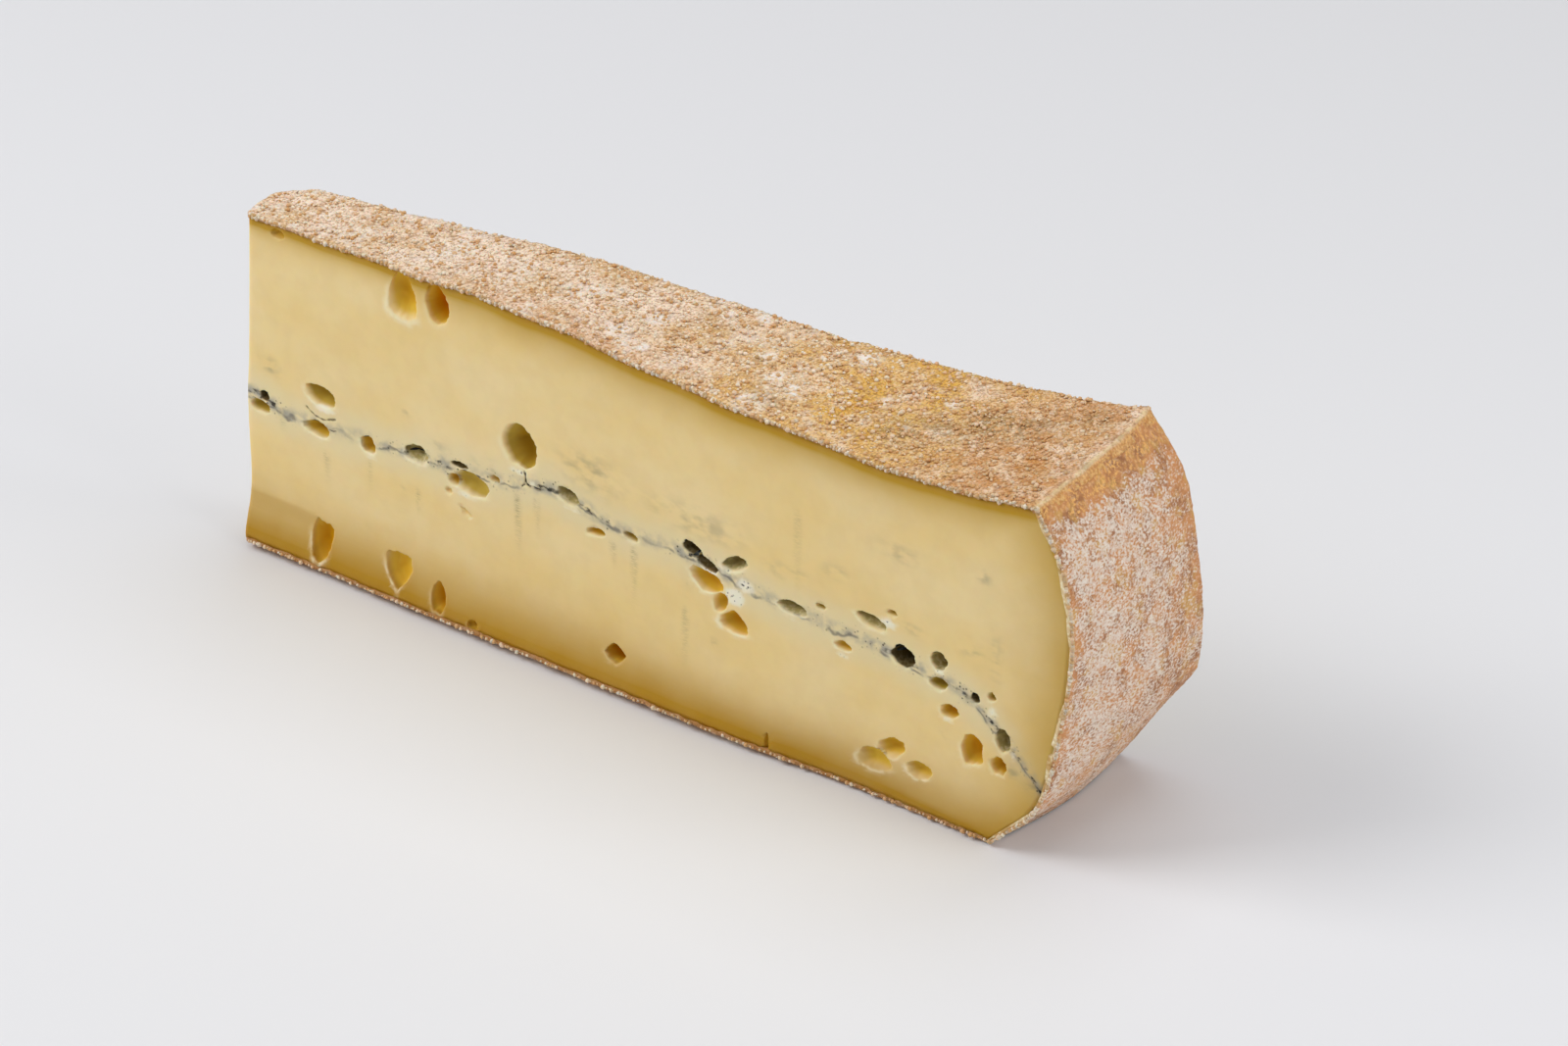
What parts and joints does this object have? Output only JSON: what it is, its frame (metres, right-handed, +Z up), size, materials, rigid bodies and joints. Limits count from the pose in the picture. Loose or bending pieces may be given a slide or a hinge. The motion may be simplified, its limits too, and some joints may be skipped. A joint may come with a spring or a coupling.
{
  "type": "morbier wedge",
  "caption": "Long tapering wedge of pressed cow's-milk cheese with a wavy seam of ash, open eyes in both cut faces, a rounded rind heel and a blunt tip.",
  "frame": {"origin": "middle of the base of the bounding box", "axes": "+X from the tip to the heel, +Y from the front cut to the back cut, +Z up"},
  "size_m": [0.1828, 0.0412, 0.069],
  "materials": {
    "paste": "satin, waxy, creamy yellow cheese paste",
    "ash": "dull blue-grey ash",
    "rind": "dry, sandy, tan to orange rind with a pale bloom"
  },
  "bodies": {
    "root": {"lower_paste": "paste", "ash_layer": "ash", "upper_paste": "paste"}
  },
  "joints": []
}
